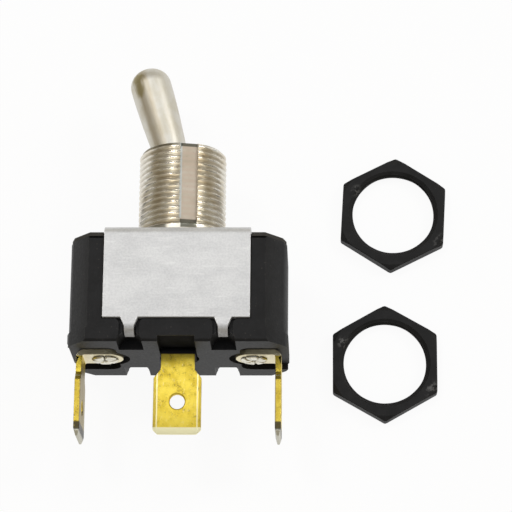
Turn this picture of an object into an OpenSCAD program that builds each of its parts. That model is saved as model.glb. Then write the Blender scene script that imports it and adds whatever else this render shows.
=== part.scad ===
// Panel toggle switch with quick-connect tabs, single pole and double throw,
// lying on the back of its bracket beside its two panel nuts.
//
// Every piece is drawn upright: X runs along the base, Y from front to back
// and Z up the bushing, with zero on the bushing's axis at the bracket's top
// face. laid_back() then turns it onto its back, so that in the finished part
// +Y runs up the bushing and +Z out of the bracket's front face.

/* [Base] */
// Length of the moulded base over its end faces
base_len = 28.9; // [28:0.1:31]
// Depth of the base from its front face to its back face
base_dep = 18.2; // [17.6:0.1:20]
// Distance from the bracket's top face down to the underside of the base
base_low = 15.8; // [15:0.1:17]
// Length of the slanted corner facets, measured along the base
corner_x = 2.3; // [1.5:0.1:2.8]
// Depth of the slanted corner facets, measured from front to back
corner_y = 2.6; // [1.5:0.1:3]
// Rise of the flatter facet between a corner facet and the end face, along the base
ease_x = 0.45; // [0.2:0.05:0.6]
// Length of that flatter facet from front to back
ease_y = 1.6; // [1:0.1:3]
// How far the flange around the foot of the base stands out at each end
flange_out = 0.2; // [0.1:0.05:0.6]
// Height of that flange
flange_h = 1.9; // [1.5:0.1:2.3]
// Thickness of the base's end walls
end_wall = 2.65; // [2.4:0.05:2.8]
// Thickness of the base's front and back walls
side_wall = 2.2; // [2:0.1:2.4]
// Width of the feet beside the recesses for the terminal legs
foot_w = 3.6; // [3.2:0.1:4]
// Depth of the recesses for the terminal legs
recess_deep = 0.75; // [0.6:0.05:0.9]
// Thickness of the cavity's floor above the terminal legs
floor_t = 1.95; // [1.7:0.05:2.2]
// Thickness of the insulating card that closes the base
card_t = 0.5; // [0.3:0.05:0.7]

/* [Bracket] */
// Width of the bracket along the base
plate_w = 19.4; // [18.6:0.1:20]
// Height of the bracket's walls without their tabs
plate_h = 12.65; // [12:0.05:13]
// Thickness of the bracket's sheet
sheet = 0.9; // [0.8:0.05:1.1]
// How far the bracket's walls stand proud of the base
plate_proud = 0.4; // [0.2:0.05:0.6]
// Distance of the clinching tabs from the middle
tab_x = 6.15; // [5.8:0.05:6.4]
// Width of a clinching tab at its root
tab_root_w = 2.35; // [2:0.05:2.6]
// Width of a clinching tab at its end
tab_end_w = 1.3; // [1:0.05:1.5]
// Distance from the bracket's top face down to the turned-in ends of the tabs
tab_low = 14.75; // [14.4:0.05:15]
// How far the tabs reach in under the base
tab_reach = 1.5; // [1.2:0.1:1.8]
// Radius of the sheet's bends on the outside
fold_r = 1.25; // [1.1:0.05:1.5]
// Radius of the sheet's bends on the inside
fold_in_r = 0.3; // [0.2:0.05:0.4]

/* [Bushing] */
// Major diameter of the bushing's thread
thread_d = 11.906; // [11.8:0.001:12.2]
// Distance from one turn of the thread to the next
thread_pitch = 0.79375; // [0.7:0.00125:1]
// Depth of the thread
thread_deep = 0.44; // [0.3:0.01:0.5]
// Height of the bushing above the bracket
bushing_h = 13.1; // [12.5:0.1:14]
// Width of the keyway along the bushing
key_w = 2.3; // [1.6:0.1:2.4]
// Depth of the keyway
key_deep = 0.8; // [0.5:0.05:0.85]
// Angle of the keyway from the front, towards +X
key_turn = 12; // [0:1:30]
// Height of the plain collar between the bracket and the thread
collar_h = 1.4; // [1.2:0.1:2]
// Chamfer at the bushing's mouth
mouth_bevel = 0.45; // [0.2:0.05:0.6]
// Thickness of the flange under the bracket
seat_t = 1.2; // [1:0.1:1.4]
// How far that flange stands out from the thread
seat_out = 1.25; // [1:0.05:1.5]

/* [Lever] */
// Height of the lever's pivot above the bracket
pivot_h = 7.5; // [7.3:0.1:7.9]
// Angle between the lever's two positions
throw_deg = 33; // [26:1:34]
// Length of the lever from its pivot to the tip of the bat
lever_len = 19.05; // [17:0.05:21]
// Diameter of the bat near its tip
bat_d = 5.65; // [5:0.05:6]
// Diameter of the lever just above its ball
neck_d = 4.3; // [4:0.1:4.6]
// Diameter of the pivot ball
ball_d = 8.44; // [8.3:0.02:8.5]
// Diameter of the stem that carries the plunger
stem_d = 4.4; // [4.2:0.1:4.5]
// Diameter of the cross pin
pin_d = 1.6; // [1.4:0.1:1.8]

/* [Contacts] */
// Diameter of the sliding plunger
plunger_d = 2.9; // [2.6:0.1:3]
// Radius of the plunger's rounded tip
plunger_tip_r = 1.1; // [0.9:0.05:1.2]
// Height of the tip's centre above the rocker's pivot, with the lever upright
tip_rise = 2.5; // [2.3:0.05:2.7]
// Angle between the rocker's two positions
rocker_deg = 16.5; // [14:0.5:17]
// Height of the rocker's pivot above the cavity's floor
cradle_h = 2.2; // [2.1:0.05:2.4]
// Thickness of the rocker's strip
rocker_t = 0.8; // [0.6:0.05:0.9]
// Width of the rocker's strip
rocker_w = 5.2; // [4.8:0.1:5.6]
// Diameter of the contact buttons
contact_d = 3.1; // [2.6:0.1:3.4]
// Thickness of the contact buttons
contact_t = 0.5; // [0.4:0.05:0.6]
// Thickness of the cradle's strip
cradle_t = 0.8; // [0.6:0.05:0.8]
// Length of the cradle's foot along the base
cradle_len = 5.4; // [5:0.1:6]
// Width of the cradle's ears
ear_w = 3.4; // [3:0.1:4]

/* [Terminals] */
// Distance from the base's end face to the outer rivets
rivet_in = 4.45; // [4.4:0.05:4.7]
// Distance from a rivet to the middle of its blade
reach = 3.3; // [3.2:0.05:3.5]
// Width of the quick-connect blade
blade_w = 6.35; // [4.8:0.05:6.4]
// Thickness of the terminal strip
blade_t = 0.8; // [0.5:0.05:0.85]
// Distance from the bracket's top face down to the blade's tip
blade_low = 27; // [24:0.1:28]
// Width of the terminal's leg and neck
leg_w = 4.5; // [4:0.1:4.7]
// Distance down from the leg to the blade's shoulders
shoulder_low = 3.15; // [2.6:0.05:4]
// Corner chamfer at the blade's tip
tip_corner = 0.6; // [0.5:0.1:1.2]
// Diameter of the locking hole in the blade
blade_hole_d = 2; // [1.6:0.1:2.2]
// Distance of the locking hole from the blade's tip
hole_up = 4.4; // [4:0.1:5]
// Diameter of the clinched rivet heads under the base
rivet_head_d = 3.6; // [3.2:0.1:4.4]
// Thickness of the clinched rivet heads
rivet_head_t = 0.4; // [0.3:0.05:0.6]

/* [Panel nuts] */
// Size across the flats of a panel nut
nut_af = 14.29; // [14:0.01:16]
// Thickness of a panel nut
nut_t = 1.9; // [1.4:0.1:2.6]
// Height of the bevel on a nut's corners
nut_bevel = 0.45; // [0.2:0.05:0.6]
// Countersink at both ends of a nut's thread
nut_sink = 0.3; // [0.2:0.05:0.4]
// Diameter at the crests of the nut's thread
nut_bore_d = 11.3; // [11.2:0.05:11.5]
// Place of the upper nut along the base and up the bushing
nut_upper_at = [29.0, 7.3];
// Place of the lower nut along the base and up the bushing
nut_lower_at = [27.7, -14.25];
// Turn of the upper nut on the surface
nut_upper_turn = -3; // [-30:1:30]

/* [Hidden] */
$fn = 72;
eps = 0.02;

// clearances between pieces that move on each other
slip = 0.05;
swing_gap = 0.25;
contact_gap = 0.04;

// clearances between pieces that lie still
rivet_gap = 0.02;
stake_gap = 0.03;
seat_gap = 0.1;
leg_gap = 0.2;
head_gap = 0.9;

// depths from front to back, measured from the middle
face_y = base_dep / 2;
wall_out = face_y + plate_proud;
wall_in = wall_out - sheet;

// heights, measured from the bracket's top face
base_z = -base_low;
base_top_z = -sheet - card_t;
flange_z = base_z + flange_h;
leg_top_z = base_z + recess_deep;
leg_under_z = leg_top_z - blade_t;
cavity_z = leg_top_z + floor_t;
seat_z = -sheet - seat_t;
foot_z = -plate_h - seat_gap;

// cavity in the base, and the rivets through its floor
cavity_x = base_len / 2 - end_wall;
cavity_y = wall_in - side_wall;
rivet_x = base_len / 2 - rivet_in;
shank_r = 1.2;
rivet_hole_r = shank_r + rivet_gap;

// recess for a terminal leg, inwards from the rivet and past the base's end
recess_r = 1.6;
recess_in = 1.8;
recess_len = recess_in + rivet_in + flange_out + 2 * recess_r;
leg_end_r = leg_w / 2 + leg_gap;

// clinching tabs
groove_w = tab_root_w + 2 * leg_gap;
groove_r = 0.75;
notch_r = 1.65;
notch_deep = 4.6;
tab_low_z = -tab_low;
tab_top_z = tab_low_z + sheet;
notch_w = tab_end_w + 2 * leg_gap;
notch_top_z = tab_top_z + fold_in_r + seat_gap;

// bushing
thread_r = thread_d / 2;
neck_r = thread_r + 0.2;
seat_r = thread_r + seat_out;
socket_r = ball_d / 2 + 0.08;
pin_reach = socket_r + 0.4;
key_low = collar_h + 0.2;

// lever, measured along its own axis from the pivot
half_throw = throw_deg / 2;
bat_r = bat_d / 2;
bat_end = lever_len - bat_r;
stem_r = stem_d / 2;
stem_low = 13;
spring_top = 4.6;
plunger_top = 9.6;
lever_bore_r = plunger_d / 2 + slip;
spring_wire = 0.45;
spring_turns = 7;
spring_r = lever_bore_r - spring_wire / 2 - 0.15;

// rocker: its top is a trough whose radius and centre height keep the plunger's
// tip at one distance from it while the lever swings and the rocker tilts
rocker_z = cavity_z + cradle_h;
half_tilt = rocker_deg / 2;
tilt_share = rocker_deg / throw_deg;
tip_reach = pivot_h - rocker_z - tip_rise;
trough_h = tip_reach * (tip_reach + tip_rise)
    / (tip_reach * (1 + 2 * tilt_share) - tip_rise * pow(tilt_share, 2));
trough_r = trough_h - tip_rise + plunger_tip_r + slip;
trough_half = 42;
bead_r = 0.7;
fixed_top_z = cavity_z + 2 * contact_t;
wing_low = fixed_top_z + contact_gap + contact_t - rocker_z;
wing_in = rivet_x - contact_d / 2 - rocker_t / 4;
wing_out = rivet_x + contact_d / 2 - rocker_t / 4;
ear_y = rocker_w / 2 - cradle_t;
head_in_r = min(cavity_x - rivet_x, ear_y) - slip;
fixed_r = min(contact_d / 2 + 0.1, head_in_r);

// half the outside width that the swinging lever needs at a height above or below
// its pivot, where its own radius is r
function swing_r(height, r) = height * tan(half_throw) + r / cos(half_throw) + swing_gap;

// radius of the bat at a distance from the pivot
function lever_r(along) = neck_d / 2 + (bat_r - neck_d / 2) * along / bat_end;

// point p turned by angle a about zero
function turned(p, a) = [p[0] * cos(a) - p[1] * sin(a), p[0] * sin(a) + p[1] * cos(a)];

// ---- helpers ----

module laid_back() { rotate([-90, 0, 0]) children(); }

// an outline in X and Z, given a depth along Y
module deep(y0, y1) { translate([0, y1, 0]) rotate([90, 0, 0]) linear_extrude(y1 - y0) children(); }

// an outline in Y and Z, given a length along X
module wide(x0, x1) {
    translate([x0, 0, 0]) rotate([90, 0, 90]) linear_extrude(x1 - x0) children();
}

module at_lever() { translate([0, 0, pivot_h]) rotate([0, -half_throw, 0]) children(); }

module at_rocker() { translate([0, 0, rocker_z]) rotate([0, half_tilt, 0]) children(); }

// a rod along Y through zero
module cross_rod(r, length) { rotate([90, 0, 0]) cylinder(r = r, h = length, center = true); }

module rounded_square(size, r) {
    square([size[0] - 2 * r, size[1]], center = true);
    square([size[0], size[1] - 2 * r], center = true);
    for (sx = [-1, 1], sy = [-1, 1])
        translate([sx * (size[0] / 2 - r), sy * (size[1] / 2 - r)]) circle(r);
}

// the waste outside a rounded corner at zero, on the side of +x and +y
module corner_waste(r) {
    difference() {
        translate([-eps, -eps]) square(r + eps);
        translate([r, r]) circle(r);
    }
}

// a straight length of strip between two points, with round ends
module strip(p, q, t) {
    length = norm(q - p);
    translate(p) circle(t / 2);
    translate(q) circle(t / 2);
    translate(p) rotate(atan2(q[1] - p[1], q[0] - p[0])) translate([0, -t / 2]) square([length, t]);
}

// ---- base ----

module base_plan(out) {
    x = base_len / 2 + out;
    square_y = face_y - corner_y;
    side = [[x - corner_x - ease_x, face_y], [x - ease_x, square_y], [x, square_y - ease_y]];
    polygon([for (p = side) p,
             for (i = [2 : -1 : 0]) [side[i][0], -side[i][1]],
             for (p = side) [-p[0], -p[1]],
             for (i = [2 : -1 : 0]) [-side[i][0], side[i][1]]]);
}

// profile of the block from front to back, with its long edges broken
module base_profile() {
    b = 0.3;
    polygon([[-face_y + b, base_top_z], [face_y - b, base_top_z], [face_y, base_top_z - b],
             [face_y, base_z + b], [face_y - b, base_z], [b - face_y, base_z],
             [-face_y, base_z + b], [-face_y, base_top_z - b]]);
}

module base_block() {
    intersection() {
        union() {
            translate([0, 0, flange_z]) linear_extrude(base_top_z - flange_z) base_plan(0);
            translate([0, 0, base_z]) linear_extrude(flange_z - base_z) base_plan(flange_out);
        }
        wide(-base_len, base_len) base_profile();
    }
}

// outline of the recess that the bracket's wall lies in, with a groove for each tab
module wall_recess() {
    half = plate_w / 2 + seat_gap;
    translate([-half, foot_z]) square([2 * half, -foot_z + 1]);
    for (s = [-1, 1]) translate([s * tab_x, 0]) {
        translate([-groove_w / 2, base_z - 1]) square([groove_w, foot_z - base_z + 1 + eps]);
        for (side = [-1, 1])
            translate([side * groove_w / 2, foot_z]) mirror([side < 0 ? 1 : 0, 0])
                mirror([0, 1]) corner_waste(groove_r);
    }
}

// recess under one end of the base, open at the end, that clears the leg and its rivet
module leg_recess() {
    translate([rivet_x, 0]) circle(leg_end_r + head_gap);
    translate([rivet_x - recess_in + recess_len / 2, 0])
        rounded_square([recess_len, 2 * (face_y - foot_w)], recess_r);
}

module housing_base() color("#1d1d1f") laid_back() difference() {
    base_block();
    // seats of the bracket's walls
    deep(-face_y - 1, -wall_in) wall_recess();
    deep(wall_in, face_y + 1) wall_recess();
    // contact cavity and the seat of the bushing's flange
    translate([0, 0, cavity_z]) linear_extrude(base_low)
        rounded_square([2 * cavity_x, 2 * cavity_y], 1.5);
    translate([0, 0, seat_z - slip]) cylinder(r = seat_r + seat_gap, h = base_low);
    // pockets that the clinched tabs turn into
    for (sx = [-1, 1], sy = [0, 1]) translate([sx * tab_x, 0, 0]) mirror([0, sy, 0]) {
        translate([0, face_y - notch_deep / 2 + 0.5, base_z - 0.1]) cross_rod(notch_r, notch_deep + 1);
        translate([-notch_w / 2, wall_in - tab_reach - leg_gap, base_z - 1])
            cube([notch_w, base_dep, notch_top_z - base_z + 1]);
    }
    // recesses for the terminal legs
    translate([0, 0, base_z - 1]) linear_extrude(leg_top_z - base_z + 1) {
        leg_recess();
        mirror([1, 0]) leg_recess();
        translate([-leg_w / 2 - leg_gap, -face_y - 1]) square([leg_w + 2 * leg_gap, face_y + 1]);
        circle(leg_end_r + leg_gap);
    }
    for (x = [-rivet_x, 0, rivet_x]) translate([x, 0, base_z]) cylinder(r = rivet_hole_r, h = base_low);
}

// a fibre card over the whole top of the base, cut back for the bracket's bends and the bushing
module insulator_card() color("#34312e") laid_back() difference() {
    translate([0, 0, base_top_z]) linear_extrude(card_t) base_plan(-seat_gap);
    deep(-face_y - 1, fold_in_r - wall_in) wall_recess();
    deep(wall_in - fold_in_r, face_y + 1) wall_recess();
    translate([0, 0, base_top_z - 1]) cylinder(r = seat_r + seat_gap, h = 2 + card_t);
}

// ---- bracket ----

// profile of the folded sheet from front to back, with the tabs turned in at the foot
module bracket_profile() difference() {
    translate([0, tab_low_z / 2]) rounded_square([2 * wall_out, -tab_low_z], fold_r);
    translate([0, tab_low_z / 2]) rounded_square([2 * wall_in, -tab_top_z - sheet], fold_in_r);
    translate([tab_reach - wall_in, tab_low_z - 1]) square([2 * (wall_in - tab_reach), 3 * sheet]);
}

// front outline of the bracket: the plate, and two tabs that narrow downwards
module bracket_front() {
    translate([-plate_w / 2, -plate_h]) square([plate_w, plate_h + 1]);
    for (s = [-1, 1]) translate([s * tab_x, 0])
        polygon([[-tab_root_w / 2, eps - plate_h], [-tab_end_w / 2, tab_top_z],
                 [-tab_end_w / 2, tab_low_z - 1], [tab_end_w / 2, tab_low_z - 1],
                 [tab_end_w / 2, tab_top_z], [tab_root_w / 2, eps - plate_h]]);
}

module frame_bracket() color("#c9ccd0") laid_back() difference() {
    intersection() {
        wide(-plate_w, plate_w) bracket_profile();
        deep(-base_dep, base_dep) bracket_front();
    }
    translate([0, 0, -2 * sheet]) cylinder(r = neck_r + stake_gap, h = 3 * sheet);
}

// ---- bushing ----

module bushing_bore() {
    mouth_h = bushing_h - pivot_h + 1;
    ball_side = 2.3;
    flare_from = (socket_r - swing_gap - stem_r / cos(half_throw)) / tan(half_throw);
    flare_low = pivot_h - seat_z + 1;
    translate([0, 0, pivot_h]) {
        sphere(socket_r);
        translate([0, 0, ball_side])
            cylinder(r1 = swing_r(ball_side, lever_r(ball_side)),
                     r2 = swing_r(mouth_h, lever_r(mouth_h)), h = mouth_h - ball_side);
        translate([0, 0, -flare_from - eps]) cylinder(r = socket_r, h = flare_from + eps);
        translate([0, 0, -flare_low])
            cylinder(r1 = swing_r(flare_low, stem_r), r2 = socket_r, h = flare_low - flare_from);
        // slots that let the cross pin in from below
        cross_rod(pin_d / 2 + slip, 2 * pin_reach);
        translate([-pin_d / 2 - slip, -pin_reach, -flare_low])
            cube([pin_d + 2 * slip, 2 * pin_reach, flare_low]);
    }
}

// half section of the bushing: a flange under the bracket, the neck staked into it, a plain
// collar, and the thread with one ring for each of its turns
module bushing_section() {
    half_turns = 2 * floor((bushing_h - mouth_bevel - collar_h) / thread_pitch);
    polygon([[0, seat_z], [seat_r, seat_z], [seat_r, -sheet], [neck_r, -sheet], [neck_r, 0], [thread_r, 0],
             for (i = [0 : half_turns]) [thread_r - thread_deep * (i % 2), collar_h + i * thread_pitch / 2],
             [thread_r - mouth_bevel, bushing_h], [0, bushing_h]]);
}

module bushing() color("#b9b2a4") laid_back() difference() {
    rotate_extrude() bushing_section();
    bushing_bore();
    rotate(key_turn) translate([-key_w / 2, -thread_r - 1, key_low])
        cube([key_w, key_deep + 1, bushing_h]);
}

// ---- lever ----

module lever() color("#c4bfb4") laid_back() at_lever() difference() {
    union() {
        cylinder(r1 = neck_d / 2, r2 = bat_r, h = bat_end);
        translate([0, 0, bat_end]) sphere(bat_r);
        sphere(ball_d / 2);
        translate([0, 0, -stem_low]) cylinder(r = stem_r, h = stem_low);
    }
    translate([0, 0, -stem_low - 1]) cylinder(r = lever_bore_r, h = stem_low + 1 - spring_top);
    cross_rod(pin_d / 2 + eps, ball_d + 1);
}

module lever_pin() color("#9a9ba0") laid_back() at_lever() cross_rod(pin_d / 2, 2 * (pin_reach - 0.1));

// points of a round wire along a helix, ring after ring
function helix_ring(turn, rise) = [for (i = [0 : 7])
    let (a = 360 * turn, w = 360 * i / 8, r = spring_r + spring_wire / 2 * cos(w))
    [r * cos(a), r * sin(a), rise + spring_wire / 2 * sin(w)]];

module plunger_spring() color("#a8a9ad") laid_back() at_lever() {
    steps = spring_turns * 16;
    top = -spring_top - spring_wire / 2 - eps;
    low = -plunger_top + spring_wire / 2 + eps;
    rings = [for (i = [0 : steps]) helix_ring(i / 16, low + (top - low) * i / steps)];
    points = [for (ring = rings) for (p = ring) p];
    sides = [for (i = [0 : steps - 1], j = [0 : 7])
        [8 * i + j, 8 * i + 8 + j, 8 * i + 8 + (j + 1) % 8, 8 * i + (j + 1) % 8]];
    polyhedron(points, concat([[for (j = [0 : 7]) j]], sides,
                              [[for (j = [7 : -1 : 0]) 8 * steps + j]]));
}

module plunger() color("#e8e4d8") laid_back() at_lever() {
    r = plunger_d / 2;
    taper = 1.4;
    translate([0, 0, -tip_reach + taper]) cylinder(r = r, h = tip_reach - taper - plunger_top);
    translate([0, 0, -tip_reach]) cylinder(r1 = plunger_tip_r, r2 = r, h = taper);
    translate([0, 0, -tip_reach]) sphere(plunger_tip_r);
}

// ---- rocker and contacts ----

module rocker_profile() {
    outer = trough_r + rocker_t;
    mid = trough_r + rocker_t / 2;
    far = 1.1 * outer / cos(trough_half);
    intersection() {
        translate([0, trough_h]) difference() {
            circle(outer, $fn = 180);
            circle(trough_r, $fn = 180);
        }
        polygon([[0, trough_h], far * [-sin(trough_half), -cos(trough_half)] + [0, trough_h],
                 far * [sin(trough_half), -cos(trough_half)] + [0, trough_h]]);
    }
    crest = [mid * sin(trough_half), trough_h - mid * cos(trough_half)];
    knee = turned([wing_in, wing_low + rocker_t / 2], half_tilt);
    end = turned([wing_out, wing_low + rocker_t / 2], half_tilt);
    for (s = [0, 1]) mirror([s, 0]) {
        strip(crest, knee, rocker_t);
        strip(knee, end, rocker_t);
    }
    circle(bead_r);
}

module contact_rocker() color("#b87a4b") laid_back() at_rocker()
    deep(-rocker_w / 2, rocker_w / 2) rocker_profile();

// a contact button under one wing of the rocker
module rocker_contact(side) {
    color("#d9d9d6") laid_back() at_rocker() mirror([side < 0 ? 1 : 0, 0, 0]) rotate([0, -half_tilt, 0])
        translate([rivet_x, 0, wing_low - contact_t]) cylinder(d = contact_d, h = contact_t);
}

module rocker_contact_left() { rocker_contact(-1); }

module rocker_contact_right() { rocker_contact(1); }

module rocker_cradle() color("#c9a24a") laid_back() {
    translate([0, 0, cavity_z]) difference() {
        linear_extrude(cradle_t) rounded_square([cradle_len, rocker_w + cradle_t / 2], 0.75 * cradle_t);
        translate([0, 0, -1]) cylinder(r = rivet_hole_r, h = 2 + cradle_t);
    }
    difference() {
        for (s = [0, 1]) mirror([0, s, 0]) translate([-ear_w / 2, ear_y, cavity_z])
            cube([ear_w, cradle_t, cradle_h + cradle_t / 4]);
        translate([0, 0, rocker_z]) cross_rod(bead_r + slip, 2 * rocker_w);
        translate([-bead_r - slip, -rocker_w, rocker_z])
            cube([2 * (bead_r + slip), 2 * rocker_w, 2 * cradle_t]);
    }
}

module fixed_contact(side) {
    color("#d9d9d6") laid_back() translate([side * rivet_x, 0, cavity_z + contact_t])
        cylinder(r = fixed_r, h = contact_t);
}

module fixed_contact_left() { fixed_contact(-1); }

module fixed_contact_right() { fixed_contact(1); }

// ---- terminals ----

// profile of the bent strip: a leg along x from the rivet, and a blade downwards with a
// bevelled tip
module terminal_profile() {
    out = reach + blade_t / 2;
    inner = 0.3;
    centre = [out - blade_t - inner, -blade_t - inner];
    low = -blade_low - leg_top_z;
    bevel = 1;
    thin = 0.35 * blade_t / 2;
    difference() {
        polygon([[-leg_w, -blade_t], [-leg_w, 0], [out, 0], [out, low + bevel], [reach + thin, low],
                 [reach - thin, low], [out - blade_t, low + bevel],
                 for (a = [0 : 18 : 90]) centre + inner * [cos(a), sin(a)]]);
        translate([out, 0]) rotate(180) corner_waste(blade_t + inner);
    }
}

// front outline of the blade and its neck
module blade_outline() {
    low = -blade_low - leg_top_z;
    slope = 1.3 * (blade_w - leg_w) / 2;
    right = [[leg_w / 2, 1], [leg_w / 2, -shoulder_low], [blade_w / 2, -shoulder_low - slope],
             [blade_w / 2, low + tip_corner], [blade_w / 2 - tip_corner, low]];
    polygon([for (p = right) p, for (i = [4 : -1 : 0]) [-right[i][0], right[i][1]]]);
}

// a terminal with its rivet at zero and its leg along +X
module terminal() {
    sink = 0.2;
    difference() {
        intersection() {
            deep(-blade_w, blade_w) terminal_profile();
            wide(-leg_w, 2 * reach) blade_outline();
            union() {
                translate([0, 0, -2 * blade_t]) cylinder(r = leg_end_r, h = 3 * blade_t);
                translate([0, -blade_w, -2 * blade_low]) cube([2 * reach, 2 * blade_w, 3 * blade_low]);
            }
        }
        translate([0, 0, -2 * blade_t]) cylinder(r = rivet_hole_r, h = 3 * blade_t);
        translate([reach, 0, hole_up - blade_low - leg_top_z]) rotate([0, 90, 0]) {
            cylinder(d = blade_hole_d, h = 3 * blade_t, center = true);
            for (s = [0, 1]) mirror([0, 0, s]) translate([0, 0, blade_t / 2 - 0.75 * sink])
                cylinder(d1 = blade_hole_d, d2 = blade_hole_d + 2 * sink, h = sink);
        }
    }
}

module terminal_left() color("#d8b23a") laid_back() translate([-rivet_x, 0, leg_top_z])
    rotate(180) terminal();

module terminal_centre() color("#d8b23a") laid_back() translate([0, 0, leg_top_z]) rotate(-90) terminal();

module terminal_right() color("#d8b23a") laid_back() translate([rivet_x, 0, leg_top_z]) terminal();

// a rivet through the floor: a flat head inside and a rolled head with short splits under the leg
module rivet(x, head_in_z) {
    r = rivet_head_d / 2;
    split_w = 0.24;
    color("#c8c5b4") laid_back() translate([x, 0, 0]) {
        translate([0, 0, leg_under_z - eps]) cylinder(r = shank_r, h = head_in_z - leg_under_z + 2 * eps);
        translate([0, 0, head_in_z]) cylinder(r = head_in_r, h = contact_t);
        translate([0, 0, leg_under_z]) mirror([0, 0, 1]) difference() {
            rotate_extrude() intersection() {
                union() {
                    square([r - rivet_head_t / 2, rivet_head_t]);
                    square([r, rivet_head_t / 2]);
                    translate([r - rivet_head_t / 2, rivet_head_t / 2]) circle(rivet_head_t / 2);
                }
                square([r, rivet_head_t]);
            }
            translate([0, 0, rivet_head_t / 2]) cylinder(r1 = shank_r / 2, r2 = 0.9 * shank_r, h = rivet_head_t);
            for (i = [0 : 4]) rotate(72 * i + 20)
                translate([0.75 * shank_r, -split_w / 2, rivet_head_t / 2]) cube([shank_r, split_w, 1]);
        }
    }
}

module rivet_left() { rivet(-rivet_x, cavity_z); }

module rivet_centre() { rivet(0, cavity_z + cradle_t); }

module rivet_right() { rivet(rivet_x, cavity_z); }

// ---- panel nuts ----

module panel_nut(at, turn) {
    nut_r = nut_af / 2 / cos(30);
    color("#161618") laid_back() translate([at[0], wall_out - nut_t, at[1]]) rotate([-90, 0, 0])
        rotate(turn) difference() {
            intersection() {
                rotate(30) cylinder(r = nut_r, h = nut_t, $fn = 6);
                union() {
                    cylinder(r1 = nut_r - 1.7 * nut_bevel, r2 = nut_r + eps, h = nut_bevel);
                    translate([0, 0, nut_bevel]) cylinder(r = nut_r + 1, h = nut_t - nut_bevel);
                }
            }
            translate([0, 0, -1]) cylinder(d = nut_bore_d, h = nut_t + 2);
            for (z = [0, nut_t]) translate([0, 0, z]) mirror([0, 0, z > 0 ? 1 : 0])
                translate([0, 0, -nut_sink])
                    cylinder(d1 = nut_bore_d + 4 * nut_sink, d2 = nut_bore_d, h = 2 * nut_sink);
        }
}

module panel_nut_upper() { panel_nut(nut_upper_at, nut_upper_turn); }

module panel_nut_lower() { panel_nut(nut_lower_at, 0); }

housing_base();
frame_bracket();
bushing();
lever();
lever_pin();
plunger_spring();
plunger();
insulator_card();
contact_rocker();
rocker_contact_left();
rocker_contact_right();
rocker_cradle();
fixed_contact_left();
fixed_contact_right();
terminal_left();
terminal_centre();
terminal_right();
rivet_left();
rivet_centre();
rivet_right();
panel_nut_upper();
panel_nut_lower();
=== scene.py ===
import math
import bpy
import numpy as np
from mathutils import Matrix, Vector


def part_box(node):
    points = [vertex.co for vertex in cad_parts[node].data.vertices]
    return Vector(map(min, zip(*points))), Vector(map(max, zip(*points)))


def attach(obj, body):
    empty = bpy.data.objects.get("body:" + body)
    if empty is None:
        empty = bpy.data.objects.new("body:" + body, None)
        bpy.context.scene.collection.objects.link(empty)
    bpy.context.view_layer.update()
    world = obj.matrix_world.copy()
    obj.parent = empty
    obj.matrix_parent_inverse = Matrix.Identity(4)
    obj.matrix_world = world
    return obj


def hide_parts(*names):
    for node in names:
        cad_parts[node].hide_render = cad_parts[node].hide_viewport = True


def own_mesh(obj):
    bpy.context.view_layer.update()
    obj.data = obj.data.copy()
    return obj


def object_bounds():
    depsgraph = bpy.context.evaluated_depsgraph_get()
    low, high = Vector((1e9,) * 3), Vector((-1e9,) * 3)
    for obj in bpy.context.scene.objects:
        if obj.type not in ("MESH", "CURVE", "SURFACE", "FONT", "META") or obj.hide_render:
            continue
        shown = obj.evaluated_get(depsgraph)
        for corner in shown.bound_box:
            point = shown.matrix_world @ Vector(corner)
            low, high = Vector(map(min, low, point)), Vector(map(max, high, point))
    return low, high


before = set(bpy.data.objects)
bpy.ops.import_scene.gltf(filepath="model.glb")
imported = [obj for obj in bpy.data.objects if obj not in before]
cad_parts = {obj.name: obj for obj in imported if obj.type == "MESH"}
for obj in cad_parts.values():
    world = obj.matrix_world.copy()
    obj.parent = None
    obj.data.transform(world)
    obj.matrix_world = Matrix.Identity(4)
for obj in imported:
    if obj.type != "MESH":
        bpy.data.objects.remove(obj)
cadBox = [[float(v) for v in corner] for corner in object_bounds()]
mm = 0.001
turn = 2 * math.pi
print("stage: frame loaded,", len(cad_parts), "nodes")

cameraSet = {
    "place": (20.0, -99.5, 310.8),  # mm
    "tilt": 17.52,                  # degrees off straight down, towards the terminals
    "yaw": -1.82,
    "roll": 0.53,
    "lens": 168.75,                 # mm, on a sensor 36 mm wide
    "sensor": 36,
}


# an object's matrix from its three directions and its place in metres
def facing(right, up, back, place):
    rows = [[right[i], up[i], back[i], place[i]] for i in range(3)]
    return Matrix(rows + [[0, 0, 0, 1]])


def makeCamera(s):
    tilt, yaw, roll = (math.radians(s[k]) for k in ("tilt", "yaw", "roll"))
    forward = np.array([math.sin(yaw) * math.cos(tilt), math.sin(tilt), -math.cos(yaw) * math.cos(tilt)])
    level = np.array([math.cos(yaw), 0, math.sin(yaw)])
    above = np.cross(level, forward)
    right = level * math.cos(roll) + above * math.sin(roll)
    up = above * math.cos(roll) - level * math.sin(roll)
    data = bpy.data.cameras.new("camera")
    data.lens, data.sensor_width = s["lens"], s["sensor"]
    data.clip_start, data.clip_end = 0.01, 20
    camera = bpy.data.objects.new("camera", data)
    bpy.context.scene.collection.objects.link(camera)
    camera.matrix_world = facing(right, up, -forward, np.array(s["place"]) * mm)
    bpy.context.scene.camera = camera


makeCamera(cameraSet)


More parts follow.
